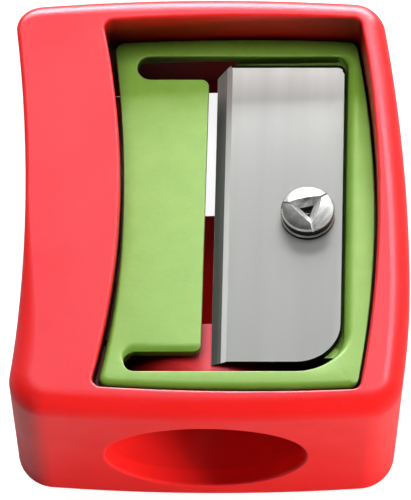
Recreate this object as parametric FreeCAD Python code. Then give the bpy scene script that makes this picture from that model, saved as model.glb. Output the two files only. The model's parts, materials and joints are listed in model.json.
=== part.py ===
"""Pencil sharpener: a moulded housing with a wedge-shaped top, a blade holder set in it,
a ground blade and the screw that clamps it.

Sizes are in millimetres. While a piece is drawn, x runs to the right from the bore's axis,
y runs back from the front foot and z runs up from the table. The last step moves every
piece so that the origin lies at the middle of the housing's foot.
"""
import FreeCAD, Part
import math
import os
from collections import namedtuple
from FreeCAD import Placement, Rotation, Vector

os.makedirs("parts", exist_ok=True)

Side = namedtuple("Side", "apex_x apex_y front_radius back_radius")
Plan = namedtuple("Plan", "left right front_y back_y end_radius")

# ---- housing, outside ------------------------------------------------------------------
draft = 1.1                 # degrees; every upright wall closes towards the foot
panel_width = 7.54          # left of the well, at the waist
waist_y = 19.0              # left side, a hollow curve
waist_front_radius = 101.0
waist_back_radius = 125.0
hip_width = 2.49            # right of the well, at the hip
hip_y = 11.7                # right side, a full curve
hip_front_radius = 62.0
hip_back_radius = 138.0
end_radius = 175.0          # front and back walls bow outwards
back_width = 1.7            # behind the well
front_corner = 3.0
back_left_corner = 2.2
back_right_corner = 2.6
rim_slope = 5.0             # degrees; the rim falls towards the back
front_round = 1.8           # rounding of the rim's outer edge
right_round = 1.6
back_round = 1.3
left_round = 0.3
rim_inner_round = 0.2

# ---- housing, inside -------------------------------------------------------------------
well_front = 1.8            # the opening in the top
well_left = -6.9
well_left_y = 20.0
well_left_radius = 70.0
well_right_y = 19.0
well_right_radius = 88.0
well_corner = 0.7
panel_skin = 1.6            # the wide left panel is hollow from below
side_wall = 1.3
panel_ribs = 2
rib_width = 1.0
foot_step_height = 3.1      # the back wall is thinner near the foot
foot_step_depth = 0.4

# ---- bore and cone ---------------------------------------------------------------------
bore_radius = 8.05
tube_wall = 1.2
tube_foot_gap = 0.8         # under the tube
lip_round = 0.2
tube_length = 8.4           # the tube is whole up to here, then only its lower half goes on
cone_start = 9.66
trough_length = 22.1
bulkhead = 1.2

# ---- blade holder ----------------------------------------------------------------------
seat_slope = 13.0           # degrees; the holder falls towards the back
holder_drop = 0.3           # its top below the rim, at the front
holder_gap = 0.2            # to the walls of the well
holder_left_front_radius = 78.0     # its left side is flatter than the well's
holder_left_back_radius = 112.0
holder_corner = 0.8
holder_front_round = 0.6
edge_break = 0.12            # the slight rounding of its other edges
plate = 0.8
skirt_depth = 2.5
skirt_width = 1.0
ledge_width = 0.9
ledge_height = 1.5
ledge_end = 29.8
ledge_notch_at = 6.8
ledge_notch = 0.55
post_width = 1.2
post_insets = (3.0, 9.5)    # of the two posts at the back, from the well's right side
flap = 1.2                  # thickness of the wide tongue beside the blade
flap_edge = -0.05           # its free edge, at mid length
flap_lean = 1.55            # degrees
flap_corner = 0.65
flap_front_round = 1.1
bar_front = 1.75            # width of the bar in front of the blade
bar_back = 1.75             # and behind it
bar_right_back = 1.0        # and right of it, at its narrow back end
slot_front = 1.6            # the two slots that free the tongue
slot_back = 2.2
slot_front_end = -6.5
slot_back_end = -5.5
pocket_edge_round = 0.9
floor = 1.2                 # under the blade
floor_inset = 0.3           # the floor stops behind the bevel

# ---- blade -----------------------------------------------------------------------------
blade_length = 28.2
blade_width = 10.35
blade_thickness = 0.6
blade_depth = 0.68          # its top face below the holder's, at the cutting edge
blade_turn = 1.2            # degrees
blade_roll = 1.9            # degrees; the back of the blade lies higher than its edge
blade_edge_x = 0.72         # cutting edge to the bore's axis, at mid length
blade_gap = 0.1             # to the pocket's walls
blade_front_gap = 1.35
face_gap = 0.02             # under the blade, and under the screw's head
bevel_width = 1.22
blade_front_corner = 3.6
blade_back_corner = 0.65
blade_nose = 1.1            # the chamfer at the back end of the cutting edge
blade_edge_roll = 0.15

# ---- screw -----------------------------------------------------------------------------
screw_across = 0.725        # its place on the blade's width, from the cutting edge
screw_along = 0.475         # and on its length, from the front
head_radius = 2.15
head_height = 1.7
head_crown = 0.35
head_edge_round = 0.2
shank_radius = 1.25
shank_length = 5.0          # under the head
shank_chamfer = 0.3
shank_gap = 0.03
blade_hole_gap = 0.1
boss_wall = 1.35
boss_bottom = 0.6
drive_radius = 1.75         # the three-cornered recess
drive_turn = 45.0           # degrees
drive_depth = 1.1

# ---- derived ---------------------------------------------------------------------------
slope_tan = math.tan(math.radians(seat_slope))
draft_tan = math.tan(math.radians(draft))
rim_tan = math.tan(math.radians(rim_slope))
window_front = bar_front
window_back = window_front + blade_front_gap + blade_length + blade_gap
holder_length = window_back + bar_back
mid_length = (window_front + window_back) / 2
blade_middle = window_back - blade_gap - blade_length / 2
half_window = window_back - mid_length
bar_narrowing = half_window ** 2 / (2 * well_right_radius)
bar_narrowing += half_window * math.tan(math.radians(blade_turn))
bar_right = bar_right_back + bar_narrowing      # at mid length
holder_front = well_front + holder_gap
well_back = holder_front + holder_length * math.cos(math.radians(seat_slope)) + holder_gap
well_right = blade_edge_x + blade_width + bar_right + holder_gap
body_back = well_back + back_width
waist_x = well_left - panel_width
hip_x = well_right + hip_width
axis_height = tube_foot_gap + tube_wall + bore_radius
axis = Vector(0, 0, axis_height)


def frame(y, z, slope):
    """A placement whose plane falls towards the back by slope degrees."""
    return Placement(Vector(0, y, z), Rotation(Vector(1, 0, 0), -slope))


# on the holder, x across from the cutting edge, y along from the blade's middle, z from its underside
blade_on_holder = Placement(Vector(blade_edge_x, blade_middle, -blade_depth - blade_thickness),
                            Rotation(Vector(0, 0, 1), -blade_turn).multiply(
                                Rotation(Vector(0, 1, 0), -blade_roll)))
# the holder stands where the blade's underside runs along the top of the cone
seat_front = frame(holder_front, 0, seat_slope).multiply(blade_on_holder).multVec(
    Vector(0, -blade_length / 2, 0))
cone_top = axis_height + bore_radius + (cone_start - seat_front.y) * slope_tan
holder_height = cone_top - seat_front.z
body_height = holder_height + holder_drop + (holder_front - well_front) * rim_tan
holder_place = frame(holder_front, holder_height, seat_slope)
blade_place = holder_place.multiply(blade_on_holder)
screw_at = Vector(screw_across * blade_width, (screw_along - 0.5) * blade_length, 0)
big = 4 * body_height
over = body_height / 10     # how far a cutting shape runs past what it cuts
sink = tube_wall / 2        # how far a wall reaches into the one it is fused with
body_corners = (front_corner, front_corner, back_right_corner, back_left_corner)
body_plan = Plan(Side(waist_x, waist_y, waist_front_radius, waist_back_radius),
                 Side(hip_x, hip_y, hip_front_radius, hip_back_radius),
                 -body_height * draft_tan, body_back, end_radius)
well_plan = Plan(Side(well_left, well_left_y, well_left_radius, well_left_radius),
                 Side(well_right, well_right_y, well_right_radius, well_right_radius),
                 well_front, well_back, end_radius)


def rim_z(y):
    """Height of the rim."""
    return body_height - (y - well_front) * rim_tan


def cone_radius(y):
    """Inner radius of the guide and of the cone behind it."""
    return bore_radius - max(0.0, y - cone_start) * slope_tan


# ---- outlines --------------------------------------------------------------------------

def side_x(side, y):
    """x of a side wall: an arc that is furthest right at its apex."""
    radius = side.front_radius if y < side.apex_y else side.back_radius
    return side.apex_x - radius + math.sqrt(radius ** 2 - (y - side.apex_y) ** 2)


def end_y(plan, x, back_end):
    """y of the front or back wall: an arc that bows outwards at the plan's middle."""
    middle = (plan.left.apex_x + plan.right.apex_x) / 2
    sag = plan.end_radius - math.sqrt(plan.end_radius ** 2 - (x - middle) ** 2)
    return plan.back_y - sag if back_end else plan.front_y + sag


def grown(plan, by):
    """The plan with every wall moved outwards."""
    left = Side(plan.left.apex_x - by, plan.left.apex_y,
                plan.left.front_radius - by, plan.left.back_radius - by)
    right = Side(plan.right.apex_x + by, plan.right.apex_y,
                 plan.right.front_radius + by, plan.right.back_radius + by)
    return Plan(left, right, plan.front_y - by, plan.back_y + by, plan.end_radius + by)


def corner(plan, side, back_end):
    """Where a side wall meets an end wall."""
    y = plan.back_y if back_end else plan.front_y
    for _ in range(6):
        x = side_x(side, y)
        y = end_y(plan, x, back_end)
    return x, y


def plan_wire(plan, z):
    """Closed outline at height z, with sharp corners."""
    front_left = corner(plan, plan.left, False)
    front_right = corner(plan, plan.right, False)
    back_right = corner(plan, plan.right, True)
    back_left = corner(plan, plan.left, True)

    def end_arc(start, stop, back_end):
        x = (start[0] + stop[0]) / 2
        return start, (x, end_y(plan, x, back_end)), stop

    def side_arc(side, start, stop):
        y = (start[1] + stop[1]) / 2
        return start, (side_x(side, y), y), stop

    hip = (plan.right.apex_x, plan.right.apex_y)
    waist = (plan.left.apex_x, plan.left.apex_y)
    arcs = [end_arc(front_left, front_right, False),
            side_arc(plan.right, front_right, hip),
            side_arc(plan.right, hip, back_right),
            end_arc(back_right, back_left, True),
            side_arc(plan.left, back_left, waist),
            side_arc(plan.left, waist, front_left)]
    edges = [Part.Arc(*[Vector(x, y, z) for x, y in arc]).toShape() for arc in arcs]
    return Part.Wire(edges)


def prism(plan, low, high, reference):
    """Solid over a plan between two heights, drafted; the plan holds at the reference height."""
    wires = []
    for z in (low, high):
        grow = (z - reference) * draft_tan
        wires.append(plan_wire(grown(plan, grow), z))
    return Part.makeLoft(wires, True, True)


def rounded_upright(solid, plan, radii):
    """Rounds a prism's four upright corners: front left, front right, back right, back left."""
    places = [corner(plan, plan.left, False), corner(plan, plan.right, False),
              corner(plan, plan.right, True), corner(plan, plan.left, True)]
    levels = [vertex.Z for vertex in solid.Vertexes]
    height = max(levels) - min(levels)
    for (x, y), radius in zip(places, radii):
        for edge in solid.Edges:
            foot, head = edge.Vertexes[0].Point, edge.Vertexes[-1].Point
            middle = (foot + head) / 2
            near = math.hypot(middle.x - x, middle.y - y) < radius
            if near and abs(head.z - foot.z) > 0.9 * height:
                solid = solid.makeFillet(radius, [edge])
                break
    return solid


def lowered(placement, by):
    """The placement moved down along its own normal."""
    return placement.multiply(Placement(Vector(0, 0, -by), Rotation()))


def above(placement):
    """Everything above the placement's plane."""
    block = Part.makeBox(2 * big, 2 * big, big, Vector(-big, -big, 0))
    block.Placement = placement
    return block


def slab(top, depth):
    """Everything between a plane and the parallel plane depth below it."""
    block = Part.makeBox(2 * big, 2 * big, depth, Vector(-big, -big, -depth))
    block.Placement = top
    return block


def rounded_profile(points):
    """Face from (x, y, radius) corners, each rounded by a tangent arc."""
    edges = []
    ends = []
    count = len(points)
    for i, (x, y, radius) in enumerate(points):
        here = Vector(x, y, 0)
        before = Vector(points[i - 1][0], points[i - 1][1], 0) - here
        after = Vector(points[(i + 1) % count][0], points[(i + 1) % count][1], 0) - here
        before.normalize()
        after.normalize()
        half = before.getAngle(after) / 2
        reach = radius / math.tan(half)
        bisector = (before + after).normalize()
        centre = here + bisector * (radius / math.sin(half))
        start = here + before * reach
        stop = here + after * reach
        ends.append((start, centre - bisector * radius, stop))
    for i, (start, middle, stop) in enumerate(ends):
        if (start - stop).Length > 1e-6:
            edges.append(Part.Arc(start, middle, stop).toShape())
        following = ends[(i + 1) % count][0]
        if (following - stop).Length > 1e-6:
            edges.append(Part.LineSegment(stop, following).toShape())
    return Part.Face(Part.Wire(edges))


def rounded_loop(solid, on_loop, radius_at):
    """Rounds the edges that on_loop picks; the radius follows radius_at at each edge's ends."""
    document = FreeCAD.newDocument("loop")
    base = document.addObject("Part::Feature", "base")
    base.Shape = solid
    rows = []
    for number, edge in enumerate(base.Shape.Edges, 1):
        middle = edge.valueAt((edge.FirstParameter + edge.LastParameter) / 2)
        if on_loop(middle):
            first, last = edge.valueAt(edge.FirstParameter), edge.valueAt(edge.LastParameter)
            rows.append((number, radius_at(first), radius_at(last)))
    fillet = document.addObject("Part::Fillet", "fillet")
    fillet.Base = base
    fillet.Edges = rows
    document.recompute()
    result = fillet.Shape.copy()
    FreeCAD.closeDocument("loop")
    return result


def revolved(points):
    """Solid of revolution about the bore's axis from (y, radius) points."""
    outline = [Vector(0, y, axis_height + radius) for y, radius in points]
    outline = [Vector(0, points[0][0], axis_height)] + outline
    outline += [Vector(0, points[-1][0], axis_height), outline[0]]
    return Part.Face(Part.makePolygon(outline)).revolve(axis, Vector(0, 1, 0), 360)


# ---- housing ---------------------------------------------------------------------------

def outer_body():
    """The housing's outside: drafted walls, sloping rim, soft outer edge."""
    body = prism(body_plan, 0, body_height + over, body_height)
    body = rounded_upright(body, body_plan, body_corners)
    body = body.cut(above(frame(well_front, body_height, rim_slope)))
    return round_rim(body)


def round_rim(body):
    """Rounds the rim's outer edge, with a radius that changes in the corners."""

    def on_rim(point):
        return abs(point.z - rim_z(point.y)) < 0.01

    def radius_at(point):
        if point.y < body_plan.front_y + front_corner * 0.6:
            return front_round
        if point.y > body_back - back_left_corner * 0.6:
            return back_round
        return right_round if point.x > 0 else left_round

    return rounded_loop(body, on_rim, radius_at)


def upper_well():
    """The opening in the top, cut through to the foot."""
    well = prism(well_plan, -over, body_height + over, body_height)
    return rounded_upright(well, well_plan, [well_corner] * 4)


def foot_step():
    """The shallow rebate that thins the back wall near the foot."""
    step = prism(grown(well_plan, foot_step_depth), -over, foot_step_height, body_height)
    behind = Part.makeBox(big, big, big, Vector(-big / 2, body_back - 4 * side_wall, -big / 2))
    return step.common(behind)


def panel_hollow():
    """The cells under the wide left panel, open at the foot and parted by ribs."""
    inside = grown(body_plan, -side_wall)
    outer = prism(inside, -over, body_height, body_height)
    outer = rounded_upright(outer, inside, [radius - side_wall for radius in body_corners])
    well_side = prism(grown(well_plan, side_wall), -over, body_height, body_height)
    left_half = Part.makeBox(big, 2 * big, 2 * big, Vector(well_left - big, -big, -big))
    cells = outer.cut(well_side).common(left_half)
    under_rim = frame(well_front, body_height - panel_skin, rim_slope)
    cells = cells.cut(above(under_rim))
    cell_length = (body_back - body_plan.front_y) / (panel_ribs + 1)
    for i in range(panel_ribs):
        y = body_plan.front_y + (i + 1) * cell_length - rib_width / 2
        rib = Part.makeBox(2 * big, rib_width, big, Vector(-big, y, 0))
        cells = cells.cut(rib)
    return cells


def tube_and_trough():
    """The guide tube, whole at the front, and its lower half running on as a trough."""
    outer = bore_radius + tube_wall
    root = well_front / 2
    tube = revolved([(root, outer), (tube_length, outer)])
    run = [(tube_length - sink, outer), (cone_start, outer),
           (trough_length, cone_radius(trough_length) + tube_wall)]
    lower = revolved(run).common(Part.makeBox(big, big, axis_height, Vector(-big / 2, 0, 0)))
    inside = prism(grown(well_plan, side_wall / 2), 0, axis_height, body_height)
    wall = Part.makeBox(big, bulkhead, axis_height, Vector(-big / 2, trough_length - bulkhead, 0))
    return tube.fuse([lower, wall.common(inside)])


def bore(end):
    """The space of the guide and of the cone behind it, up to an end."""
    return revolved([(-over, bore_radius), (cone_start, bore_radius), (end, cone_radius(end))])


def ledges():
    """Shelves that the holder's skirt rests on, at the front and sides, and two posts at the back."""
    inner = prism(grown(well_plan, -ledge_width), -over, body_height, body_height)
    ring = prism(grown(well_plan, side_wall / 2), -over, body_height, body_height).cut(inner)
    skirt_foot = lowered(holder_place, skirt_depth)
    length = Part.makeBox(big, ledge_end, 2 * big, Vector(-big / 2, 0, -big))
    shelf = ring.common(slab(skirt_foot, ledge_height)).common(length)
    notch = Part.makeBox(big, ledge_notch, big, Vector(-big, ledge_notch_at, 0))
    shelf = shelf.cut(notch)
    posts = []
    for inset in post_insets:
        left = well_right - inset - post_width / 2
        post = Part.makeBox(post_width, big, big, Vector(left, ledge_end, 0))
        posts.append(post.common(ring))
    posts = posts[0].fuse(posts[1]).cut(above(skirt_foot))
    return shelf.fuse(posts)


def make_housing():
    body = outer_body()
    body = body.cut([upper_well(), panel_hollow(), foot_step()])
    tube = tube_and_trough().cut(above(lowered(blade_place, 2 * face_gap)).common(upper_well()))
    body = body.fuse([tube, ledges()]).cut(bore(trough_length + bulkhead))
    body = soften_mouth(body.removeSplitter())
    return round_well_edge(body)


def soften_mouth(body):
    """Rounds the lip of the mouth."""
    lip = []
    for edge in body.Edges:
        points = edge.discretize(5)
        on_bore = all(abs(math.hypot(p.x, p.z - axis_height) - bore_radius) < 0.01 for p in points)
        if on_bore and all(p.y < well_front / 2 for p in points):
            lip.append(edge)
    return body.makeFillet(lip_round, lip)


def round_well_edge(body):
    """Rounds the inner edge of the rim."""
    edges = []
    for edge in body.Edges:
        middle = edge.valueAt((edge.FirstParameter + edge.LastParameter) / 2)
        slack = 0.05
        inside = well_front - slack < middle.y < well_back + slack
        inside = inside and middle.x > side_x(well_plan.left, middle.y) - slack
        inside = inside and middle.x < side_x(well_plan.right, middle.y) + slack
        if inside and abs(middle.z - rim_z(middle.y)) < slack:
            edges.append(edge)
    return body.makeFillet(rim_inner_round, edges)


# ---- blade holder ----------------------------------------------------------------------

def holder_outline():
    """The holder's plan: inside the well, with a flatter left side."""
    plan = grown(well_plan, -holder_gap)
    left = plan.left._replace(front_radius=holder_left_front_radius,
                              back_radius=holder_left_back_radius)
    return plan._replace(left=left)


def window():
    """Outline cut through the plate: two slots, the gap at the edge and the blade's pocket."""
    lean = math.tan(math.radians(blade_turn))

    def blade_side(u):
        right = blade_edge_x + blade_width / math.cos(math.radians(blade_turn)) + blade_gap
        return right + (u - blade_middle) * lean

    def tongue_edge(u):
        return flap_edge + (u - mid_length) * math.tan(math.radians(flap_lean))

    flap_front = window_front + slot_front
    flap_back = window_back - slot_back
    half_front = slot_front / 2 - 0.01
    half_back = slot_back / 2 - 0.01
    corners = [(slot_front_end, window_front, half_front),
               (blade_side(window_front), window_front, blade_front_corner + blade_gap),
               (blade_side(window_back), window_back, blade_back_corner + blade_gap),
               (slot_back_end, window_back, half_back),
               (slot_back_end, flap_back, half_back),
               (tongue_edge(flap_back), flap_back, flap_corner),
               (tongue_edge(flap_front), flap_front, flap_corner),
               (slot_front_end, flap_front, half_front)]
    return rounded_profile(corners)


def raised(face, low, high, place):
    """Prism over a flat outline between two heights of a placement."""
    solid = face.extrude(Vector(0, 0, high - low))
    solid.translate(Vector(0, 0, low))
    solid.Placement = place.multiply(solid.Placement)
    return solid


def make_holder():
    outline = holder_outline()
    column = prism(outline, 0, body_height + over, body_height)
    column = rounded_upright(column, outline, [holder_corner] * 4)
    column = soften_outline(column.common(slab(holder_place, big)))
    core = prism(grown(outline, -skirt_width), 0, body_height + over, body_height)
    skirt = column.cut(core).common(slab(holder_place, skirt_depth))
    top = column.common(slab(holder_place, plate))
    tongue = column.common(slab(holder_place, flap)).common(
        raised(tongue_region(), -flap, 0, holder_place))
    tray = column.common(tray_block())
    boss = boss_column()
    body = top.fuse([skirt, tongue, tray, boss])
    opening = raised(window(), -big, big, holder_place)
    opening = opening.common(above(lowered(blade_place, face_gap)))
    clear_radius = bore_radius + tube_wall + holder_gap
    clear_tube = revolved([(-over, clear_radius), (tube_length + holder_gap, clear_radius)])
    tip = holder_place.multVec(Vector(0, window_back, -plate)).y
    body = body.cut([opening, clear_tube, bore(tip), screw_hole()])
    body = max(body.removeSplitter().Solids, key=lambda solid: solid.Volume)
    return soften_window(body).cut(tongue_round()).Solids[0]


def tongue_round():
    """What the wide rounding of the tongue's front end takes away, as two cutters: one along
    the end, and one that fades out round the slot's end."""
    wall = slot_front / 2
    middle = Vector(slot_front_end + wall, window_front + wall, 0)

    def section(angle, radius):
        """Wire across the rounding, seen from the slot's end; angle turns it to the left."""
        slant = radius * math.sqrt(0.5)
        foot, crest = (wall, -radius), (wall + radius, 0)
        belly = (wall + radius - slant, slant - radius)
        air = [(wall / 2, -radius), (wall / 2, wall / 2), (wall + radius, wall / 2)]
        turn = Rotation(Vector(0, 0, 1), angle)

        def spot(point):
            return middle + turn.multVec(Vector(0, point[0], point[1]))

        round_edge = Part.Arc(spot(crest), spot(belly), spot(foot)).toShape()
        rest = Part.makePolygon([spot(point) for point in [foot] + air + [crest]])
        return Part.Wire([round_edge] + rest.Edges)

    along = Part.Face(section(0, flap_front_round)).extrude(Vector(blade_edge_x - middle.x, 0, 0))
    sections = []
    for angle in range(0, 121, 30):
        fade = math.cos(math.radians(0.75 * angle)) ** 2
        sections.append(section(angle, max(edge_break / 4, flap_front_round * fade)))
    cutters = [along, Part.makeLoft(sections, True)]
    for cutter in cutters:
        cutter.Placement = holder_place
    return cutters


def soften_outline(column):
    """Rounds the edge of the column's sloping top: wide along the front, slight elsewhere."""
    to_flat = holder_place.inverse()

    def on_outline(point):
        return abs(to_flat.multVec(point).z) < 0.01

    def radius_at(point):
        front = to_flat.multVec(point).y < holder_corner / 2
        return holder_front_round if front else edge_break

    return rounded_loop(column, on_outline, radius_at)


def soften_window(body):
    """Rounds the window's edge: wide beside the blade, slight elsewhere."""
    to_flat = holder_place.inverse()

    def on_edge(point):
        flat = to_flat.multVec(point)
        return abs(flat.z) < 0.01 and on_window(flat)

    def radius_at(point):
        flat = to_flat.multVec(point)
        blade_corner = blade_front_corner + window_front
        beside = flat.x > blade_width / 2 and blade_corner - 0.5 < flat.y < window_back - 0.5
        return pocket_edge_round if beside else edge_break

    return rounded_loop(body, on_edge, radius_at)


def on_window(flat):
    """Whether a point of the holder's top lies on the window's outline."""
    face = window()
    return face.OuterWire.distToShape(Part.Vertex(Vector(flat.x, flat.y, 0)))[0] < 0.01


def tongue_region():
    """The part of the plate that is as thick as the tongue, out to the left side."""
    front = window_front + slot_front / 2
    back = window_back - slot_back / 2
    corners = [(-big, front), (blade_edge_x, front), (blade_edge_x, back), (-big, back)]
    outline = [Vector(x, y, 0) for x, y in corners]
    return Part.Face(Part.makePolygon(outline + outline[:1]))


def tray_block():
    """Floor and walls of the blade's pocket."""
    left = bevel_width + floor_inset
    right = blade_width + blade_gap + skirt_width
    reach = blade_length / 2 + blade_gap + skirt_width
    block = Part.makeBox(right - left, 2 * reach, floor + blade_thickness + blade_depth,
                         Vector(left, -reach, -floor))
    block.Placement = blade_place
    return block.cut(above(holder_place))


def boss_column():
    """The post that the screw bites into."""
    depth = shank_length - blade_thickness + boss_bottom
    boss = Part.makeCylinder(shank_radius + boss_wall, depth, screw_at - Vector(0, 0, depth))
    boss.Placement = blade_place
    return boss


def screw_hole():
    depth = shank_length - blade_thickness + shank_chamfer
    hole = Part.makeCylinder(shank_radius + shank_gap, depth + blade_thickness,
                             screw_at - Vector(0, 0, depth))
    hole.Placement = blade_place
    return hole


# ---- blade and screw -------------------------------------------------------------------

def make_blade():
    half = blade_length / 2
    outline = rounded_profile([(0, -half, 0.02),
                               (blade_width, -half, blade_front_corner),
                               (blade_width, half, blade_back_corner),
                               (bevel_width, half, 0.02),
                               (0, half - blade_nose, 0.02)])
    blade = outline.extrude(Vector(0, 0, blade_thickness))
    rolled = []
    for edge in blade.Edges:
        box = edge.BoundBox
        if box.ZMin > blade_thickness - 0.01 and box.XMax > bevel_width + 0.1:
            rolled.append(edge)
    blade = blade.makeFillet(blade_edge_roll, rolled)
    hone = Part.makePolygon([Vector(-1, 0, 0) + Vector(0, -big, -blade_thickness / bevel_width),
                             Vector(bevel_width, -big, blade_thickness),
                             Vector(bevel_width, -big, blade_thickness * 3),
                             Vector(-1, -big, blade_thickness * 3),
                             Vector(-1, -big, -blade_thickness / bevel_width)])
    blade = blade.cut(Part.Face(hone).extrude(Vector(0, 2 * big, 0)))
    hole = Part.makeCylinder(shank_radius + blade_hole_gap, 4 * blade_thickness,
                             screw_at - Vector(0, 0, blade_thickness))
    return blade.cut(hole)


def make_screw():
    """Crowned head with a three-cornered recess, on a plain shank."""
    top = head_height
    side = head_height - head_crown
    crown_radius = (head_radius ** 2 + head_crown ** 2) / (2 * head_crown)
    shoulder = head_radius / 2
    crown_drop = crown_radius - math.sqrt(crown_radius ** 2 - shoulder ** 2)
    tip = -shank_length
    corners = [Vector(0, 0, top), Vector(0, 0, tip), Vector(shank_radius - shank_chamfer, 0, tip),
               Vector(shank_radius, 0, tip + shank_chamfer), Vector(shank_radius, 0, 0),
               Vector(head_radius, 0, 0), Vector(head_radius, 0, side)]
    crown = Part.Arc(corners[-1], Vector(shoulder, 0, top - crown_drop), corners[0]).toShape()
    outline = Part.Wire(Part.makePolygon(corners).Edges + [crown])
    screw = Part.Face(outline).revolve(Vector(), Vector(0, 0, 1), 360)
    rim = []
    for edge in screw.Edges:
        box = edge.BoundBox
        if abs(box.ZMin - side) < 0.01 and box.XLength > 2 * head_radius - 0.1:
            rim.append(edge)
    screw = screw.makeFillet(head_edge_round, rim)
    return screw.cut(drive_recess(top))


def drive_recess(top):
    """A three-sided pit with a dimple in its middle."""
    corners = []
    for i in range(3):
        angle = math.radians(120 * i + drive_turn)
        corners.append(Vector(drive_radius * math.cos(angle), drive_radius * math.sin(angle), top))
    lip = Part.makePolygon(corners + [corners[0]])
    return Part.makeLoft([lip, Part.Vertex(Vector(0, 0, top - drive_depth))], True, True)


def to_foot_middle(housing):
    """Moves the model's origin to the middle of the housing's foot."""
    box = housing.optimalBoundingBox()
    return Vector(-(box.XMin + box.XMax) / 2, -(box.YMin + box.YMax) / 2, -box.ZMin)


blade = make_blade()
blade.Placement = blade_place
screw = make_screw()
under_head = screw_at + Vector(0, 0, blade_thickness + face_gap)
screw.Placement = blade_place.multiply(Placement(under_head, Rotation()))
pieces = {"housing": make_housing(), "blade_holder": make_holder(),
          "blade": blade, "blade_screw": screw}
shift = to_foot_middle(pieces["housing"])
for name, shape in pieces.items():
    shape.translate(shift)
    shape.exportStep("parts/" + name + ".step")
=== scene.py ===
"""Pencil sharpener: red wedge-topped housing, green blade holder, ground blade, clamping screw.

Sizes are listed in millimetres and made in metres. +Z is up, +Y runs from the pencil's mouth to
the back, and +X is the blade's side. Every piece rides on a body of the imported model.
"""
import json
import math

import bmesh
import bpy
from mathutils import Euler, Matrix, Vector


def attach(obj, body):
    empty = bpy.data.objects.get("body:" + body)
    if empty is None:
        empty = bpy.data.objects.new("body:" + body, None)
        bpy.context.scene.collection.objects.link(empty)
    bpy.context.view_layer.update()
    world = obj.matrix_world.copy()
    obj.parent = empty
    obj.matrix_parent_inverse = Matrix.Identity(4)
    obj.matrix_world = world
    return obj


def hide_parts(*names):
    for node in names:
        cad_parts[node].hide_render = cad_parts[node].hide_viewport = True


MM = 0.001
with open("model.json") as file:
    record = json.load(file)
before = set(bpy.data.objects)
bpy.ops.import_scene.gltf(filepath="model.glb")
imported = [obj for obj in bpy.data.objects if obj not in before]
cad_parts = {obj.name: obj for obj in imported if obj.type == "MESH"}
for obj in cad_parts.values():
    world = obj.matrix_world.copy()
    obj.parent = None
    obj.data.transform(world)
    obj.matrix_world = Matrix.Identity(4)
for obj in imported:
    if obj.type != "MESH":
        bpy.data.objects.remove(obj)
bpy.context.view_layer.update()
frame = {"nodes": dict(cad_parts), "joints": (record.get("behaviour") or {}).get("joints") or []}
nodes = frame["nodes"]

# ---- sizes, in millimetres --------------------------------------------------------------
SEAT_SLOPE = 13.0           # degrees; how the blade lies
BLADE_TURN = 1.2
BLADE_ROLL = 1.9

BLADE_LEFT = -7.504         # the blade, measured from the screw on its top face
BLADE_RIGHT = 2.846
BLADE_FRONT = -13.54
BLADE_BACK = 14.6
BLADE_THICKNESS = 0.6
FRONT_CORNER = 3.6
BACK_CORNER = 0.65
NOSE = 1.1
LOWER_EDGE = 0.05           # the small chamfer round its underside
BEVEL_WIDTH = 1.22
HONED_WIDTH = 0.78          # the polished strip along the cutting edge
HONED_DEPTH = 0.2
CUTTING_EDGE = 0.575
SCREW_HOLE = 1.35
ROLL_HEIGHT = 0.24          # the rolled edge; it is widest at the back end
ROLL_FRONT = 0.05
ROLL_SIDE = 0.1
ROLL_BACK = 0.72
ROLL_STEPS = 6

HOLDER_ORIGIN = (-0.328, -15.871, 21.182)   # middle of the holder's front edge
SLOT_LEFT = -6.55           # the front slot, on the holder's top
SLOT_FRONT = 1.75
SLOT_BACK = 3.7
SLOT_RIGHT = 2.0
SLOT_DEPTH = 4.0
POCKET_RIGHT = 11.0
POCKET_BACK = 3.5
POCKET_FLOOR = -0.85
POCKET_DEPTH = 5.0
POCKET_LIP = 0.03           # how far the pocket stays behind the slot's front side
OVERLAP = 0.1               # how far neighbouring cuts run into each other
TONGUE_FOOT = -0.9          # underside of the tongue at its front end
TONGUE_DROP = 0.35          # how much lower it is a millimetre further back
TONGUE_BOTTOM = -2.0
TONGUE_EDGE = -0.38         # its free edge, at the front
TONGUE_CORNER = 0.6
FOOT_RIGHT = 0.4

HEAD_RADIUS = 2.15
HEAD_HEIGHT = 1.66
HEAD_CROWN = 0.36
HEAD_ROUND = 0.2
HEAD_FOOT = 0.06            # the round at the head's foot
HEAD_WAIST = 2.06           # the side between the crown and the bead near the foot
HEAD_SIDES = 128
CROWN_STEPS = 12
BEAD_HEIGHT = 0.46
BEAD_RADIUS = 0.035
BEAD_LINE = 0.04            # half the height of the painted highlight line along the bead
DRIVE_RADIUS = 1.55         # the three-cornered recess in the screw's head
DRIVE_INNER = 0.72
DRIVE_TAPER = 0.55          # share of the inner radius that is left at the floor
DRIVE_TURN = 43.0           # degrees
DRIVE_RIM = 1.46            # height of its corners
DRIVE_STEP = 1.02           # height where its steep middle starts
DRIVE_FLOOR = 0.68
NOTCH_WIDTH = 0.5
NOTCH_DEPTH = 0.34
NOTCH_DIP = 0.06
NOTCH_RISE = 1.2
DIMPLE_RADIUS = 0.24
DIMPLE_DEPTH = 0.16
THIRD = 120.0               # degrees between the recess's corners

THREAD_RADIUS = 1.24
THREAD_ROOT = 0.93
THREAD_PITCH = 1.0
THREAD_CREST = 0.3          # share of a turn from the thread's top to its foot
THREAD_SIDES = 48
ROWS_PER_TURN = 14
POINT_ROWS = 4              # rows over which the end narrows
POINT_TAPER = 0.1
SHANK_LENGTH = 5.0
NECK_LENGTH = 0.65
NECK_TOP = 0.05

FLOOR_REACH = 3.0           # metres from the middle to the floor's edge
CAMERA_HEIGHT = 71.3        # degrees above the floor
CAMERA_PLACE = (-0.000344, -0.257210, 0.768650)     # metres
CAMERA_LENS = 714.2

BLACK = (0.0, 0.0, 0.0, 1.0)
WHITE = (1.0, 1.0, 1.0, 1.0)
WORN_STEEL = (0.9, 0.9, 0.89, 1.0)


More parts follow.
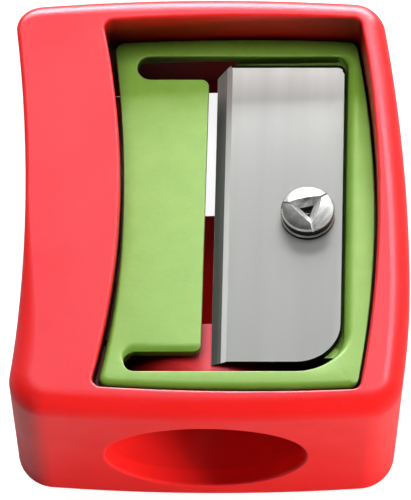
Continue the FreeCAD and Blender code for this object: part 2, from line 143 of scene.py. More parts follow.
# ---- shader building blocks -------------------------------------------------------------

def new_group(name, inputs, outputs):
    """An empty shader group: inputs are (name, default) and outputs are names, all floats."""
    group = bpy.data.node_groups.new(name, "ShaderNodeTree")
    for label, default in inputs:
        socket = group.interface.new_socket(label, in_out="INPUT",
                                            socket_type="NodeSocketFloat")
        socket.default_value = default
    for label in outputs:
        group.interface.new_socket(label, in_out="OUTPUT", socket_type="NodeSocketFloat")
    start = group.nodes.new("NodeGroupInput")
    end = group.nodes.new("NodeGroupOutput")
    return group, start, end


def add(tree, kind, **settings):
    """A new node with its properties set by name."""
    node = tree.nodes.new(kind)
    for key, value in settings.items():
        setattr(node, key, value)
    return node


def feed(tree, value, socket):
    """Puts a number on a socket, or links an output to it."""
    if isinstance(value, (int, float)):
        socket.default_value = value
    else:
        tree.links.new(value, socket)


def math_node(tree, operation, first, second=None):
    """A Math node; each operand is a socket or a number."""
    node = add(tree, "ShaderNodeMath", operation=operation)
    feed(tree, first, node.inputs[0])
    if second is not None:
        feed(tree, second, node.inputs[1])
    return node.outputs[0]


def noise(tree, vector, scale, detail, roughness=0.5):
    """Factor of a Noise Texture; scale is a socket or a number."""
    node = add(tree, "ShaderNodeTexNoise")
    node.inputs["Detail"].default_value = detail
    node.inputs["Roughness"].default_value = roughness
    tree.links.new(vector, node.inputs["Vector"])
    feed(tree, scale, node.inputs["Scale"])
    return node.outputs["Fac"]


def remap(tree, value, low, high, to_low=0.0, to_high=1.0):
    """A clamped Map Range; each limit is a socket or a number."""
    node = add(tree, "ShaderNodeMapRange", clamp=True)
    tree.links.new(value, node.inputs["Value"])
    for label, limit in (("From Min", low), ("From Max", high),
                         ("To Min", to_low), ("To Max", to_high)):
        feed(tree, limit, node.inputs[label])
    return node.outputs["Result"]


def own_place(tree):
    """The point's own coordinates, in metres."""
    return add(tree, "ShaderNodeTexCoord").outputs["Object"]


def moulded_skin():
    """Surface of moulded plastic: fine grain, slow colour drift and small specks."""
    group, start, end = new_group("moulded_skin", [("Grain", 9000.0), ("Drift", 160.0)],
                                  ["Height", "Drift", "Specks"])
    place = own_place(group)
    coarse = noise(group, place, start.outputs["Grain"], detail=3.0, roughness=0.6)
    fine_scale = math_node(group, "MULTIPLY", start.outputs["Grain"], 2.7)
    fine = noise(group, place, fine_scale, detail=2.0)
    height = math_node(group, "ADD", coarse, math_node(group, "MULTIPLY", fine, 0.4))
    group.links.new(height, end.inputs["Height"])
    drift = noise(group, place, start.outputs["Drift"], detail=3.0, roughness=0.55)
    group.links.new(remap(group, drift, 0.32, 0.68), end.inputs["Drift"])
    speck_scale = math_node(group, "MULTIPLY", start.outputs["Drift"], 12.0)
    specks = noise(group, place, speck_scale, detail=2.0)
    group.links.new(remap(group, specks, 0.66, 0.78), end.inputs["Specks"])
    return group


def convex_edge_mask():
    """Mask that is 1 along convex edges, broken up by noise."""
    group, start, end = new_group("convex_edge_mask", [("Radius", 0.00035), ("Patches", 900.0)],
                                  ["Mask"])
    geometry = add(group, "ShaderNodeNewGeometry")
    bevel = add(group, "ShaderNodeBevel", samples=6)
    group.links.new(start.outputs["Radius"], bevel.inputs["Radius"])
    dot = add(group, "ShaderNodeVectorMath", operation="DOT_PRODUCT")
    group.links.new(bevel.outputs["Normal"], dot.inputs[0])
    group.links.new(geometry.outputs["Normal"], dot.inputs[1])
    bend = math_node(group, "SUBTRACT", 1.0, dot.outputs["Value"])
    mask = remap(group, bend, 0.01, 0.12)
    patches = noise(group, own_place(group), start.outputs["Patches"], detail=3.0)
    mask = math_node(group, "MULTIPLY", mask, remap(group, patches, 0.35, 0.65))
    group.links.new(mask, end.inputs["Mask"])
    return group


def ground_lines():
    """Fine parallel lines left by grinding, along the direction that Turn gives in radians."""
    group, start, end = new_group(
        "ground_lines", [("Turn", 0.0), ("Lines", 6000.0), ("Stretch", 0.02)],
        ["Height", "Streaks"])
    turn = add(group, "ShaderNodeVectorRotate", rotation_type="Z_AXIS")
    group.links.new(own_place(group), turn.inputs["Vector"])
    group.links.new(start.outputs["Turn"], turn.inputs["Angle"])
    combine = add(group, "ShaderNodeCombineXYZ")
    combine.inputs["X"].default_value = 1.0
    combine.inputs["Z"].default_value = 1.0
    group.links.new(start.outputs["Stretch"], combine.inputs["Y"])
    stretched = add(group, "ShaderNodeVectorMath", operation="MULTIPLY")
    group.links.new(turn.outputs["Vector"], stretched.inputs[0])
    group.links.new(combine.outputs["Vector"], stretched.inputs[1])
    lines = noise(group, stretched.outputs["Vector"], start.outputs["Lines"],
                  detail=4.0, roughness=0.7)
    group.links.new(lines, end.inputs["Height"])
    wide_scale = math_node(group, "MULTIPLY", start.outputs["Lines"], 0.12)
    wide = noise(group, stretched.outputs["Vector"], wide_scale, detail=2.0)
    group.links.new(remap(group, wide, 0.3, 0.7), end.inputs["Streaks"])
    return group


def painted_deep_shade():
    """Painted shade: a factor that falls in narrow gaps and deep hollows; the outer walls stay at
    1.
    """
    group, start, end = new_group(
        "painted_deep_shade", [("Reach", 0.012), ("Shut", 0.12), ("Open", 0.7), ("Least", 0.06),
                       ("Side", 0.0134), ("End", 0.0163), ("Bend", 1.35)], ["Factor"])
    hollow = add(group, "ShaderNodeAmbientOcclusion", samples=6)
    group.links.new(start.outputs["Reach"], hollow.inputs["Distance"])
    level = remap(group, hollow.outputs["AO"], start.outputs["Shut"], start.outputs["Open"],
                  start.outputs["Least"])
    split = add(group, "ShaderNodeSeparateXYZ")
    group.links.new(own_place(group), split.inputs[0])
    outer = []
    for axis, limit in (("X", "Side"), ("Y", "End")):
        reach = math_node(group, "ABSOLUTE", split.outputs[axis])
        past = math_node(group, "SUBTRACT", reach, start.outputs[limit])
        outer.append(remap(group, past, -0.0003, 0.0003))
    factor = math_node(group, "POWER", level, start.outputs["Bend"])
    outer = math_node(group, "MAXIMUM", outer[0], outer[1])
    group.links.new(math_node(group, "MAXIMUM", factor, outer), end.inputs["Factor"])
    return group


def lengthwise():
    """Factor that goes from 0 to 1 between two places along the piece, in metres."""
    group, start, end = new_group(
        "lengthwise", [("From", BLADE_FRONT * MM), ("To", BLADE_BACK * MM), ("Bend", 2.0)],
        ["Factor"])
    split = add(group, "ShaderNodeSeparateXYZ")
    group.links.new(own_place(group), split.inputs[0])
    level = remap(group, split.outputs["Y"], start.outputs["From"], start.outputs["To"])
    factor = math_node(group, "POWER", level, start.outputs["Bend"])
    group.links.new(factor, end.inputs["Factor"])
    return group


SKIN = moulded_skin()
EDGE_MASK = convex_edge_mask()
LINES = ground_lines()
DEEP = painted_deep_shade()
ALONG = lengthwise()


def placed(tree, group, **values):
    """A group node with its inputs set by name."""
    node = add(tree, "ShaderNodeGroup", node_tree=group)
    for label, value in values.items():
        node.inputs[label].default_value = value
    return node


def blend(tree, factor, first, second):
    """Mixes two colours; each is a socket or an (r, g, b, a) value."""
    node = add(tree, "ShaderNodeMix", data_type="RGBA")
    feed(tree, factor, node.inputs["Factor"])
    for label, value in (("A", first), ("B", second)):
        socket = [s for s in node.inputs if s.name == label and s.type == "RGBA"][0]
        if isinstance(value, tuple):
            socket.default_value = value
        else:
            tree.links.new(value, socket)
    return [s for s in node.outputs if s.type == "RGBA"][0]


def part_of(tree, mask, share):
    """A mask at part of its strength."""
    return math_node(tree, "MULTIPLY", mask, share)


def blank_material(name, settings):
    """A material with one Principled shader, and the given values on its own sockets."""
    material = bpy.data.materials.new(name)
    material.use_nodes = True
    tree = material.node_tree
    tree.nodes.clear()
    shader = add(tree, "ShaderNodeBsdfPrincipled")
    output = add(tree, "ShaderNodeOutputMaterial")
    tree.links.new(shader.outputs["BSDF"], output.inputs["Surface"])
    for label, value in settings.items():
        shader.inputs[label].default_value = value
    return material, tree, shader


def bumped(tree, shader, height, distance):
    """Feeds a height into the shader's normal; the distance is in metres."""
    bump = add(tree, "ShaderNodeBump")
    bump.inputs["Distance"].default_value = distance
    tree.links.new(height, bump.inputs["Height"])
    tree.links.new(bump.outputs["Normal"], shader.inputs["Normal"])


def plastic(name, base, deep, pale, tint, roughness, grain, grain_depth, drift, hollows):
    """Moulded plastic: three close tones, a fine grain, edges paler from wear and a painted
    highlight, and painted shade in hollows.
    """
    material, tree, shader = blank_material(name, {
        "IOR": 1.49, "Specular IOR Level": 0.32, "Subsurface Weight": 0.1,
        "Subsurface Radius": (1.0, 0.35, 0.25), "Subsurface Scale": 0.0005,
        "Coat Weight": 0.03, "Coat Roughness": 0.22, "Specular Tint": tint})
    worn_and_highlight = blend(tree, 0.22, pale, WHITE)
    skin = placed(tree, SKIN, Grain=grain, Drift=drift)
    edge_node = placed(tree, EDGE_MASK)
    colour = blend(tree, skin.outputs["Drift"], deep, base)
    colour = blend(tree, part_of(tree, skin.outputs["Specks"], 0.15), colour, pale)
    # Convex edges turn paler: partly wear, partly a painted highlight.
    colour = blend(tree, part_of(tree, edge_node.outputs["Mask"], 0.45), colour, worn_and_highlight)
    # Painted shade: the colour is blended towards black in gaps and deep hollows.
    shade = placed(tree, DEEP, **hollows)
    colour = blend(tree, shade.outputs["Factor"], BLACK, colour)
    tree.links.new(colour, shader.inputs["Base Color"])
    rough = remap(tree, skin.outputs["Drift"], 0.0, 1.0, roughness + 0.05, roughness - 0.03)
    rough = math_node(tree, "SUBTRACT", rough, part_of(tree, edge_node.outputs["Mask"], 0.08))
    tree.links.new(rough, shader.inputs["Roughness"])
    bumped(tree, shader, skin.outputs["Height"], grain_depth)
    return material


def grey(level):
    """Steel's grey, a touch towards green."""
    return (level * 0.98, level, level * 0.965, 1.0)


def steel(name, front, back, metallic, roughness, lines=5200.0, depth=0.000002,
          change=(BLADE_FRONT, BLADE_BACK), edges=0.5, bend=2.0):
    """Ground steel: fine lines, slow streaks, rubbed edges, and a tone that changes lengthwise,
    used for painted light and painted reflections.
    """
    material, tree, shader = blank_material(name, {
        "Metallic": metallic, "Specular IOR Level": 0.14 if metallic else 0.08})
    ground = placed(tree, LINES, Turn=0.02, Lines=lines)
    edge_node = placed(tree, EDGE_MASK, Radius=0.00012)
    run = placed(tree, ALONG, From=change[0] * MM, To=change[1] * MM, Bend=bend)
    colour = blend(tree, run.outputs["Factor"], grey(front), grey(back))
    streaks = part_of(tree, ground.outputs["Streaks"], 0.16)
    colour = blend(tree, streaks, colour, grey(front * 0.8))
    colour = blend(tree, part_of(tree, edge_node.outputs["Mask"], edges), colour, WORN_STEEL)
    tree.links.new(colour, shader.inputs["Base Color"])
    rough = remap(tree, ground.outputs["Streaks"], 0.0, 1.0, roughness + 0.04, roughness - 0.03)
    tree.links.new(rough, shader.inputs["Roughness"])
    bumped(tree, shader, ground.outputs["Height"], depth)
    return material


def plated(name, dark, pale, metallic, roughness, depth=0.000004, lines=3500.0):
    """Plating with a faint drift and a few marks from the driver."""
    material, tree, shader = blank_material(name, {
        "Metallic": metallic, "Specular IOR Level": 0.5 if metallic else 0.08})
    ground = placed(tree, LINES, Turn=0.6, Lines=lines, Stretch=0.25)
    colour = blend(tree, ground.outputs["Streaks"], grey(dark), grey(pale))
    tree.links.new(colour, shader.inputs["Base Color"])
    rough = remap(tree, ground.outputs["Streaks"], 0.0, 1.0, roughness, roughness * 0.5)
    tree.links.new(rough, shader.inputs["Roughness"])
    bumped(tree, shader, ground.outputs["Height"], depth)
    return material


RED = plastic("red_moulded_plastic", base=(0.98, 0.019, 0.017, 1), deep=(0.93, 0.016, 0.014, 1),
              pale=(1.0, 0.09, 0.1, 1), tint=(0.9, 0.66, 0.86, 1), roughness=0.36,
              grain=5200.0, grain_depth=0.000006, drift=120.0,
              hollows={"Open": 0.9, "Least": 0.28, "Bend": 1.7})
GREEN = plastic("green_moulded_plastic", base=(0.216, 0.415, 0.053, 1),
                deep=(0.187, 0.377, 0.0395, 1), pale=(0.4, 0.62, 0.18, 1),
                tint=(0.85, 1.0, 0.6, 1), roughness=0.44,
                grain=3000.0, grain_depth=0.000008, drift=420.0,
                hollows={"Open": 0.48, "Bend": 1.15})
# Painted light: the blade's top is painted far lighter towards its back end.
STEEL = steel("ground_blade_steel", front=0.23, back=1.0, metallic=0.08, roughness=0.4, bend=7.0)
# Painted reflection: the ground bevel is painted as a light band.
GROUND_LIGHT_REFLECTION = steel("ground_bevel_light_reflection", front=0.52, back=0.42, metallic=0.3, roughness=0.4, lines=9000.0)
# Painted reflection: the honed strip is painted dark up to 9 mm from the screw, lighter behind 12
# mm.
HONED_DARK_REFLECTION = steel("honed_edge_dark_reflection", front=0.13, back=0.42, metallic=0.6, roughness=0.26, lines=9000.0,
              depth=0.000001, change=(9.0, 12.0), edges=0.3)
# Painted shade: the blade's sides, ends and rolled edges are painted near black.
SHEARED_PAINTED_SHADE = steel("sheared_edge_painted_shade", front=0.006, back=0.006, metallic=0.0, roughness=0.5,
                lines=3000.0, edges=0.02)
PLATED = plated("bright_screw_plating", dark=0.1, pale=0.62, metallic=0.1, roughness=0.44,
                depth=0.00003, lines=9000.0)
# Painted shade: one of the crown's three segments is painted darker.
SCREW_CROWN_PAINTED_SHADE = plated("screw_crown_painted_shade", dark=0.025, pale=0.17, metallic=0.1, roughness=0.44,
                depth=0.00003, lines=9000.0)
# Painted highlight: the front half of the rim's round, a line along the bead and the dimple's
# floor.
SCREW_PAINTED_HIGHLIGHT = plated("screw_rim_painted_highlight", dark=0.6, pale=0.9, metallic=0.5, roughness=0.3)
# Painted shade: the head's side and the steep middle of its recess are painted near black.
SCREW_PAINTED_SHADE = plated("screw_side_painted_shade", dark=0.006, pale=0.014, metallic=0.0, roughness=0.5)
PRESSED = plated("pressed_screw_recess", dark=0.12, pale=0.95, metallic=0.45, roughness=0.36,
                 depth=0.00003, lines=15000.0)


# ---- mesh building blocks ---------------------------------------------------------------

def new_object(name, data):
    """An object in the scene, made from a mesh, a light or a camera."""
    piece = bpy.data.objects.new(name, data)
    bpy.context.scene.collection.objects.link(piece)
    return piece


def mesh_object(name, mesh):
    """An object made from a bmesh, which is freed."""
    data = bpy.data.meshes.new(name)
    mesh.to_mesh(data)
    mesh.free()
    return new_object(name, data)


def solid(name, mesh):
    """An object made from a closed bmesh, its faces all turned outwards."""
    bmesh.ops.recalc_face_normals(mesh, faces=mesh.faces)
    return mesh_object(name, mesh)


def new_verts(mesh, points):
    """Vertices at points given in millimetres."""
    return [mesh.verts.new(Vector(point) * MM) for point in points]


def join_rings(mesh, rings):
    """Faces between each ring of vertices and the next."""
    count = len(rings[0])
    for near, far in zip(rings, rings[1:]):
        for i in range(count):
            j = (i + 1) % count
            mesh.faces.new((near[i], near[j], far[j], far[i]))


def around(radius, angle, height):
    """A point at an angle, in radians, round the z axis."""
    return (radius * math.cos(angle), radius * math.sin(angle), height)


def arc(centre, radius, start, stop, steps):
    """(r, z) points on an arc, angles in degrees."""
    points = []
    for i in range(steps + 1):
        angle = math.radians(start + (stop - start) * i / steps)
        points.append((centre[0] + radius * math.cos(angle),
                       centre[1] + radius * math.sin(angle)))
    return points


def ellipse_corner(centre, across, along, start, steps):
    """Points on a quarter of an ellipse, anticlockwise from the start angle in degrees."""
    points = []
    for i in range(steps + 1):
        angle = math.radians(start + 90 * i / steps)
        points.append((centre[0] + across * math.cos(angle),
                       centre[1] + along * math.sin(angle)))
    return points


def lathe(name, profile, steps):
    """Closed solid turned from (r, z) points, whose first and last lie on the axis."""
    mesh = bmesh.new()
    first = mesh.verts.new((0, 0, profile[0][1] * MM))
    last = mesh.verts.new((0, 0, profile[-1][1] * MM))
    angles = [2 * math.pi * i / steps for i in range(steps)]
    rings = []
    for radius, height in profile[1:-1]:
        rings.append([mesh.verts.new(around(radius * MM, angle, height * MM))
                      for angle in angles])
    for i in range(steps):
        j = (i + 1) % steps
        mesh.faces.new((first, rings[0][i], rings[0][j]))
        for near, far in zip(rings, rings[1:]):
            mesh.faces.new((near[i], far[i], far[j], near[j]))
        mesh.faces.new((last, rings[-1][j], rings[-1][i]))
    return solid(name, mesh)


def prism_between(name, low, high):
    """Closed solid between two polygons with as many corners each."""
    mesh = bmesh.new()
    bottom = new_verts(mesh, low)
    top = new_verts(mesh, high)
    mesh.faces.new(bottom[::-1])
    mesh.faces.new(top)
    join_rings(mesh, [bottom, top])
    return solid(name, mesh)


def upright_prism(name, outline, low, high):
    """Closed solid over an (x, y) outline, between two heights."""
    return prism_between(name, [(x, y, low) for x, y in outline],
                         [(x, y, high) for x, y in outline])


def settle(piece):
    """Replaces the piece's mesh by what its modifiers make of it."""
    graph = bpy.context.evaluated_depsgraph_get()
    graph.update()
    result = bpy.data.meshes.new_from_object(piece.evaluated_get(graph))
    piece.modifiers.clear()
    piece.data = result


def cut_away(piece, cutters):
    """Cuts each cutter out of the piece and deletes the cutters."""
    for cutter in cutters:
        modifier = piece.modifiers.new("cut", "BOOLEAN")
        modifier.operation = "DIFFERENCE"
        modifier.solver = "EXACT"
        modifier.object = cutter
    settle(piece)
    for cutter in cutters:
        bpy.data.objects.remove(cutter)


def smooth(piece, degrees):
    """Smooth shading, with edges sharper than the angle kept crisp."""
    piece.data.shade_smooth()
    bpy.context.view_layer.update()
    piece.data.set_sharp_from_angle(angle=math.radians(degrees))


def paint(data, materials, material_of=None):
    """Gives a mesh its materials; material_of says which of them a face takes."""
    data.materials.clear()
    for material in materials:
        data.materials.append(material)
    if material_of:
        for face in data.polygons:
            face.material_index = materials.index(material_of(face))


# ---- the screw --------------------------------------------------------------------------

def blade_frame():
    """Matrix of the screw's place on the blade: its z is the blade's normal."""
    joint = [j for j in frame["joints"] if j["name"] == "screw_turn"][0]
    turn = (Matrix.Rotation(math.radians(-SEAT_SLOPE), 4, "X")
            @ Matrix.Rotation(math.radians(-BLADE_TURN), 4, "Z")
            @ Matrix.Rotation(math.radians(-BLADE_ROLL), 4, "Y"))
    return Matrix.Translation(Vector(joint["pos_m"])) @ turn


def pit_cutters(turns):
    """The wide sloping pit of the recess, and the steep one in its middle."""
    lift = 0.5
    overlap = 0.02
    slope = (DRIVE_RADIUS - DRIVE_INNER) / (DRIVE_RIM - DRIVE_STEP)
    spread = DRIVE_RADIUS + lift * slope
    step = [around(DRIVE_INNER, t, DRIVE_STEP) for t in turns]
    high = [around(spread, t, DRIVE_RIM + lift) for t in turns]
    floor = [around(DRIVE_INNER * DRIVE_TAPER, t, DRIVE_FLOOR) for t in turns]
    inner = [around(DRIVE_INNER, t, DRIVE_STEP + overlap) for t in turns]
    return [prism_between("pit_cut", step, high), prism_between("inner_cut", floor, inner)]


def notch_cutter(turn):
    """A V-shaped notch that falls from a corner of the recess to the head's side."""
    side = Vector((-math.sin(turn), math.cos(turn), 0)) * NOTCH_WIDTH
    rim = HEAD_HEIGHT - HEAD_CROWN
    near = Vector(around(DRIVE_RADIUS * 0.7, turn, DRIVE_RIM - NOTCH_DIP))
    far = Vector(around(HEAD_RADIUS + 0.4, turn, rim - NOTCH_DEPTH))
    rise = Vector((0, 0, NOTCH_RISE))
    low = [near, near + rise + side, near + rise - side]
    high = [far, far + rise + side, far + rise - side]
    return prism_between("notch_cut", low, high)


def dimple_cutter():
    """The pointed dimple in the recess's floor."""
    shoulder, top = DRIVE_FLOOR + 0.1, DRIVE_FLOOR + 0.3
    return lathe("dimple_cut", [(0, DRIVE_FLOOR - DIMPLE_DEPTH), (DIMPLE_RADIUS, shoulder),
                                (DIMPLE_RADIUS, top), (0, top)], 32)


def screw_head():
    """Domed head with a bead round its foot, and the three-cornered recess cut into it."""
    side = HEAD_HEIGHT - HEAD_CROWN
    crown = (HEAD_RADIUS ** 2 + HEAD_CROWN ** 2) / (2 * HEAD_CROWN)
    profile = [(0, 0)]
    profile += arc((HEAD_RADIUS - HEAD_FOOT, HEAD_FOOT), HEAD_FOOT, -90, 0, 4)
    profile += [(HEAD_RADIUS, BEAD_HEIGHT - 0.14), (HEAD_WAIST, BEAD_HEIGHT - 0.06)]
    profile += arc((HEAD_WAIST, BEAD_HEIGHT), BEAD_RADIUS, -80, 80, 6)
    profile += [(HEAD_WAIST, BEAD_HEIGHT + 0.08), (HEAD_RADIUS - 0.02, side - HEAD_ROUND * 1.3)]
    profile += arc((HEAD_RADIUS - HEAD_ROUND, side - HEAD_ROUND * 0.9), HEAD_ROUND, 0, 76, 7)
    for i in range(1, CROWN_STEPS + 1):
        radius = (HEAD_RADIUS - HEAD_ROUND * 1.15) * (1 - i / CROWN_STEPS)
        profile.append((radius, HEAD_HEIGHT - crown + math.sqrt(crown ** 2 - radius ** 2)))
    head = lathe("screw_head", profile, HEAD_SIDES)
    turns = [math.radians(DRIVE_TURN + THIRD * i) for i in range(3)]
    cut_away(head, pit_cutters(turns) + [notch_cutter(t) for t in turns] + [dimple_cutter()])
    return head


def head_material(face):
    """The material of a face of the head, by where it lies and where it looks; some faces carry
    painted highlights and painted shade.
    """
    x, y, z = face.center
    reach = math.hypot(x, y)
    radius, height = reach / MM, z / MM
    outer = radius > HEAD_WAIST - 0.14
    inward = face.normal.x * x + face.normal.y * y < -0.05 * reach
    past_notch = math.degrees(math.atan2(y, x)) % 360 - DRIVE_TURN - THIRD
    if outer and x < HEAD_RADIUS * 0.3 * MM and abs(height - BEAD_HEIGHT) < BEAD_LINE:
        return SCREW_PAINTED_HIGHLIGHT
    if outer and face.normal.z < 0.3:
        return SCREW_PAINTED_SHADE
    if radius > HEAD_RADIUS - HEAD_ROUND * 1.2 and y < 0:
        return SCREW_PAINTED_HIGHLIGHT
    if height < DRIVE_FLOOR - 0.02 and radius < DIMPLE_RADIUS and y < 0:
        return SCREW_PAINTED_HIGHLIGHT
    if height < DRIVE_STEP and radius < HEAD_WAIST - 0.3:
        return SCREW_PAINTED_SHADE
    if inward:
        return PRESSED
    if 0 < past_notch < THIRD:
        return SCREW_CROWN_PAINTED_SHADE
    return PLATED


def thread_radius(row, count, turn, depth):
    """Radius of the thread at a row and a share of a turn; it fades in and out at its ends."""
    phase = (depth / THREAD_PITCH + turn) % 1.0
    crest = max(0.0, 1.0 - abs(phase - 0.5) / THREAD_CREST)
    fade = min(1.0, row / ROWS_PER_TURN, (count - row) / ROWS_PER_TURN + 0.15)
    radius = THREAD_ROOT + (THREAD_RADIUS - THREAD_ROOT) * crest * fade
    if row > count - POINT_ROWS:
        radius *= 1 - POINT_TAPER * (row - count + POINT_ROWS) / POINT_ROWS
    return radius


def screw_shank():
    """Threaded shank with a plain neck and a short point."""
    count = int((SHANK_LENGTH - NECK_LENGTH) / THREAD_PITCH * ROWS_PER_TURN)
    shares = [i / THREAD_SIDES for i in range(THREAD_SIDES)]
    mesh = bmesh.new()
    rings = []
    for row in range(count + 1):
        depth = NECK_LENGTH + (SHANK_LENGTH - NECK_LENGTH) * row / count
        rings.append([mesh.verts.new(around(thread_radius(row, count, turn, depth) * MM,
                                            2 * math.pi * turn, -depth * MM))
                      for turn in shares])
    rings.insert(0, [mesh.verts.new(around(THREAD_ROOT * MM, 2 * math.pi * turn, NECK_TOP * MM))
                     for turn in shares])
    join_rings(mesh, rings)
    mesh.faces.new(rings[0])
    mesh.faces.new(rings[-1][::-1])
    return solid("screw_thread", mesh)


def make_screw():
    """The head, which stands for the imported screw, and the threaded shank under it."""
    place = blade_frame()
    head = screw_head()
    shank = screw_shank()
    paint(shank.data, [PLATED])
    paint(head.data, [PLATED, SCREW_PAINTED_HIGHLIGHT, SCREW_PAINTED_SHADE, PRESSED, SCREW_CROWN_PAINTED_SHADE], head_material)
    for piece in (head, shank):
        smooth(piece, 28)
        piece.matrix_world = place
        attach(piece, "screw")
    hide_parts("blade_screw")


# ---- the blade --------------------------------------------------------------------------

def blade_outline(front, side, back):
    """Anticlockwise outline, drawn in by the given insets at the front, the right and the back."""
    points = [(BLADE_LEFT, BLADE_FRONT + front)]
    points += ellipse_corner((BLADE_RIGHT - FRONT_CORNER, BLADE_FRONT + FRONT_CORNER),
                             FRONT_CORNER - side, FRONT_CORNER - front, -90, 24)
    points += ellipse_corner((BLADE_RIGHT - side - BACK_CORNER, BLADE_BACK - back - BACK_CORNER),
                             BACK_CORNER, BACK_CORNER, 0, 8)
    points += [(BLADE_LEFT + NOSE, BLADE_BACK - back), (BLADE_LEFT, BLADE_BACK - NOSE)]
    return points


def bevel_cutter():
    """What grinding takes off: a wide facet, and a steeper honed one along the cutting edge."""
    left, right = BLADE_LEFT - 0.5, BLADE_LEFT + BEVEL_WIDTH
    clear = right + 0.3
    section = [(left, -CUTTING_EDGE - 0.25), (BLADE_LEFT, -CUTTING_EDGE),
               (BLADE_LEFT + HONED_WIDTH, -HONED_DEPTH), (right, 0), (clear, 0.13),
               (clear, 1), (left, 1)]
    near = [(x, BLADE_FRONT - 1, z) for x, z in section]
    far = [(x, BLADE_BACK + 1, z) for x, z in section]
    return prism_between("bevel_cut", near, far)


def blade_body():
    """The strip of steel with its rolled edges, ground on the left and drilled for the screw."""
    rings = [(-BLADE_THICKNESS, LOWER_EDGE, LOWER_EDGE, LOWER_EDGE),
             (LOWER_EDGE - BLADE_THICKNESS, 0, 0, 0)]
    for i in range(ROLL_STEPS + 1):
        angle = math.pi / 2 * i / ROLL_STEPS
        inward = 1 - math.cos(angle)
        rings.append((-ROLL_HEIGHT * (1 - math.sin(angle)),
                      ROLL_FRONT * inward, ROLL_SIDE * inward, ROLL_BACK * inward))
    mesh = bmesh.new()
    loops = []
    for height, front, side, back in rings:
        loops.append([mesh.verts.new((x * MM, y * MM, height * MM))
                      for x, y in blade_outline(front, side, back)])
    join_rings(mesh, loops)
    mesh.faces.new(loops[0][::-1])
    mesh.faces.new(loops[-1])
    blade = solid("ground_blade", mesh)
    hole = [(0, -1), (SCREW_HOLE, -1), (SCREW_HOLE, 1), (0, 1)]
    cut_away(blade, [bevel_cutter(), lathe("hole_cut", hole, 48)])
    return blade


def blade_material(face):
    """The material of a face of the blade, by where it lies and where it looks; the bevel's strips
    carry painted reflections and the sides painted shade.
    """
    x = face.center.x / MM
    if x < BLADE_LEFT + BEVEL_WIDTH and face.normal.x < -0.2 and face.normal.z > 0.6:
        return HONED_DARK_REFLECTION if x < BLADE_LEFT + HONED_WIDTH else GROUND_LIGHT_REFLECTION
    return STEEL if abs(face.normal.z) > 0.985 else SHEARED_PAINTED_SHADE


def make_blade():
    """The blade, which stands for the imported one."""
    blade = blade_body()
    smooth(blade, 20)
    paint(blade.data, [STEEL, GROUND_LIGHT_REFLECTION, HONED_DARK_REFLECTION, SHEARED_PAINTED_SHADE], blade_material)
    blade.matrix_world = blade_frame()
    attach(blade, "blade")
    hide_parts("blade")


# ---- the blade holder -------------------------------------------------------------------

def holder_frame():
    """Matrix of the holder's top: x to the right, y back along the slope."""
    return (Matrix.Translation(Vector(HOLDER_ORIGIN) * MM)
            @ Matrix.Rotation(math.radians(-SEAT_SLOPE), 4, "X"))


def slot_cutter():
    """The front slot, with its round left end and the tongue's rounded corner."""
    half = (SLOT_BACK - SLOT_FRONT) / 2
    middle = (SLOT_LEFT + half, SLOT_FRONT + half)
    end = ellipse_corner(middle, half, half, 90, 12)
    end += ellipse_corner(middle, half, half, 180, 12)[1:]
    corner = (TONGUE_EDGE - TONGUE_CORNER, SLOT_BACK + TONGUE_CORNER)
    round_corner = ellipse_corner(corner, TONGUE_CORNER, TONGUE_CORNER, -90, 8)[::-1]
    outline = end + [(SLOT_RIGHT, SLOT_FRONT), (SLOT_RIGHT, corner[1])] + round_corner
    return upright_prism("slot_cut", outline, -SLOT_DEPTH, 1)


def tongue_foot_cutter():
    """What thins the tongue from below towards its front end."""
    front, back = SLOT_BACK - OVERLAP, SLOT_BACK + 1
    section = [(front, TONGUE_FOOT), (back, TONGUE_FOOT - TONGUE_DROP),
               (back, TONGUE_BOTTOM), (front, TONGUE_BOTTOM)]
    return prism_between("foot_cut", [(SLOT_LEFT, y, z) for y, z in section],
                         [(FOOT_RIGHT, y, z) for y, z in section])


def pocket_cutter():
    """What opens the pocket in front of the blade."""
    left, front = SLOT_RIGHT - OVERLAP, SLOT_FRONT + POCKET_LIP
    corners = [(left, front), (POCKET_RIGHT, front), (POCKET_RIGHT, POCKET_BACK),
               (left, POCKET_BACK)]
    return upright_prism("pocket_cut", corners, -POCKET_DEPTH, POCKET_FLOOR)


def make_holder():
    """The holder, its front slot at full width and its pocket open in front of the blade."""
    holder = new_object("holder_body", nodes["blade_holder"].data.copy())
    cutters = [slot_cutter(), tongue_foot_cutter(), pocket_cutter()]
    for cutter in cutters:
        cutter.matrix_world = holder_frame()
    cut_away(holder, cutters)
    smooth(holder, 28)
    paint(holder.data, [GREEN])
    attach(holder, "base")
    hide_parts("blade_holder")


# ---- floor, light and camera ------------------------------------------------------------

def make_floor():
    """A pale light table: evenly bright to look at, matt grey to everything else."""
    mesh = bmesh.new()
    corners = [mesh.verts.new((x * FLOOR_REACH, y * FLOOR_REACH, 0))
               for x, y in ((-1, -1), (1, -1), (1, 1), (-1, 1))]
    mesh.faces.new(corners)
    floor = mesh_object("floor", mesh)
    material, tree, shader = blank_material("pale_floor", {"Base Color": (0.5, 0.5, 0.5, 1),
                                                           "Roughness": 0.9})
    rays = add(tree, "ShaderNodeLightPath")
    glow = add(tree, "ShaderNodeEmission")
    glow.inputs["Strength"].default_value = 0.9
    both = add(tree, "ShaderNodeAddShader")
    choose = add(tree, "ShaderNodeMixShader")
    tree.links.new(shader.outputs["BSDF"], both.inputs[0])
    tree.links.new(glow.outputs["Emission"], both.inputs[1])
    tree.links.new(rays.outputs["Is Camera Ray"], choose.inputs["Fac"])
    tree.links.new(shader.outputs["BSDF"], choose.inputs[1])
    tree.links.new(both.outputs["Shader"], choose.inputs[2])
    output = [n for n in tree.nodes if n.type == "OUTPUT_MATERIAL"][0]
    tree.links.new(choose.outputs["Shader"], output.inputs["Surface"])
    floor.data.materials.append(material)


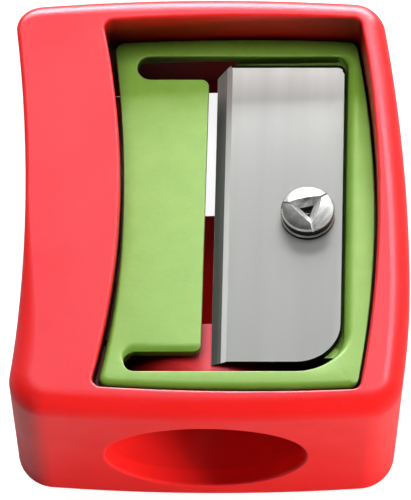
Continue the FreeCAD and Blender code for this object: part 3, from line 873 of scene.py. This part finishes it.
def soft_light(name, place, size, power, lights):
    """A soft light that faces the part; it lights only matt or only glossy surfaces."""
    light = bpy.data.lights.new(name, "AREA")
    light.shape = "RECTANGLE"
    light.size, light.size_y = size
    light.energy = power
    lamp = new_object(name, light)
    lamp.location = place
    lamp.visible_glossy = lights != "matt"
    lamp.visible_diffuse = lights != "glossy"
    aim = Vector((0, 0, 0.01)) - Vector(place)
    lamp.rotation_euler = aim.to_track_quat("-Z", "Y").to_euler()


def make_sky():
    """Studio surroundings: pale behind the part up to half height, dark above and in front."""
    world = bpy.data.worlds.new("studio")
    bpy.context.scene.world = world
    world.use_nodes = True
    tree = world.node_tree
    background = tree.nodes["Background"]
    split = add(tree, "ShaderNodeSeparateXYZ")
    direction = add(tree, "ShaderNodeTexCoord").outputs["Generated"]
    tree.links.new(direction, split.inputs[0])
    behind = remap(tree, split.outputs["Y"], 0.0, 0.5)
    below = remap(tree, split.outputs["Z"], 0.8, 1.0, 1.0, 0.0)
    pale = math_node(tree, "MULTIPLY", behind, below)
    tree.links.new(remap(tree, pale, 0.0, 1.0, 0.05, 0.42), background.inputs["Strength"])
    background.inputs["Color"].default_value = (0.98, 0.98, 1.0, 1.0)


def make_light():
    """The surroundings and five lamps; places and sizes are in metres, power in watts."""
    make_sky()
    soft_light("overhead", (-0.02, 0.165, 0.57), (0.4, 0.3), 2.7, "matt")
    soft_light("front_low", (0.5, -0.3, 0.05), (0.3, 0.14), 5.2, "matt")
    soft_light("back_strip", (0.03, 0.22, 0.085), (0.26, 0.14), 4.0, "glossy")
    soft_light("right_strip", (0.17, 0.24, 0.45), (0.13, 0.16), 2.0, "glossy")
    soft_light("front_edge", (-0.2, -0.3, 0.3), (0.1, 0.1), 0.06, "glossy")


def make_camera():
    """A long lens that looks down on the part from the front."""
    camera = bpy.data.cameras.new("camera")
    camera.lens = CAMERA_LENS
    camera.sensor_width = 36.0
    camera.clip_start = 0.05
    camera.clip_end = 20.0
    stand = new_object("camera", camera)
    stand.location = CAMERA_PLACE
    stand.rotation_euler = Euler((math.pi / 2 - math.radians(CAMERA_HEIGHT), 0, 0))
    bpy.context.scene.camera = stand


paint(nodes["housing"].data, [RED])
make_holder()
make_blade()
make_screw()
make_floor()
make_light()
make_camera()
bpy.context.scene.view_settings.view_transform = "Standard"
